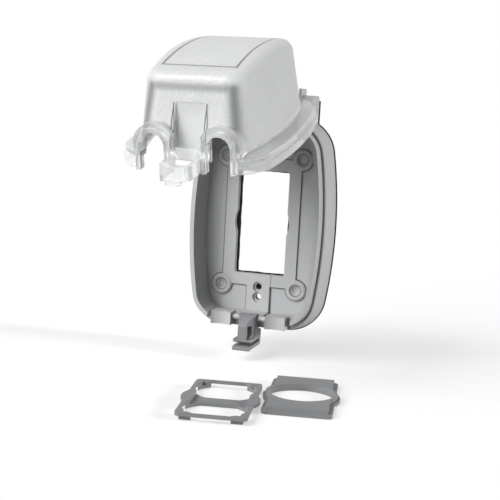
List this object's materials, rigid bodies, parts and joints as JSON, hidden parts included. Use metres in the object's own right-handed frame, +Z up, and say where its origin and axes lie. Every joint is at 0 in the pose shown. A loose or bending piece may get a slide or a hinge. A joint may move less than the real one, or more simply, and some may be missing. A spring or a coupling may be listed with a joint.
{
  "type": "weatherproof electrical box",
  "caption": "Outdoor outlet cover: moulded tray and gasket for the wall, deep clear lid hinged at the top with cord arches, a latch below and loose adapter plates.",
  "frame": {"origin": "centre of the device opening on the wall plane, midway between the two cover screws", "axes": "+Y into the wall, so the front faces -Y; +Z up towards the hinge; +X to the right as seen from the front"},
  "size_m": [0.1287, 0.1745, 0.1974],
  "materials": {
    "grey_body": "moulded satin grey plastic",
    "gasket_foam": "black closed-cell foam sheet",
    "clear_lid": "clear polycarbonate, frosted on the hood and glossy at the rim",
    "pin_grey": "satin grey plastic",
    "latch_grey": "moulded satin grey plastic",
    "adapter_grey": "moulded satin dark grey plastic"
  },
  "bodies": {
    "tray": {"base_tray": "grey_body", "wall_gasket": "gasket_foam", "hinge_pin": "pin_grey", "latch_pin": "pin_grey", "round_adapter": "adapter_grey", "duplex_adapter": "adapter_grey"},
    "lid": {"clear_lid": "clear_lid"},
    "latch": {"latch": "latch_grey"}
  },
  "joints": [
    {"name": "lid_hinge", "type": "hinge", "parent": "tray", "child": "lid", "pos_m": [0, -0.0172, 0.0715], "axis": [-1, 0, 0], "range_deg": [-75.5, 14.5]},
    {"name": "latch_pivot", "type": "hinge", "parent": "tray", "child": "latch", "pos_m": [0, -0.0224, -0.059], "axis": [-1, 0, 0], "range_deg": [0, 15]}
  ]
}
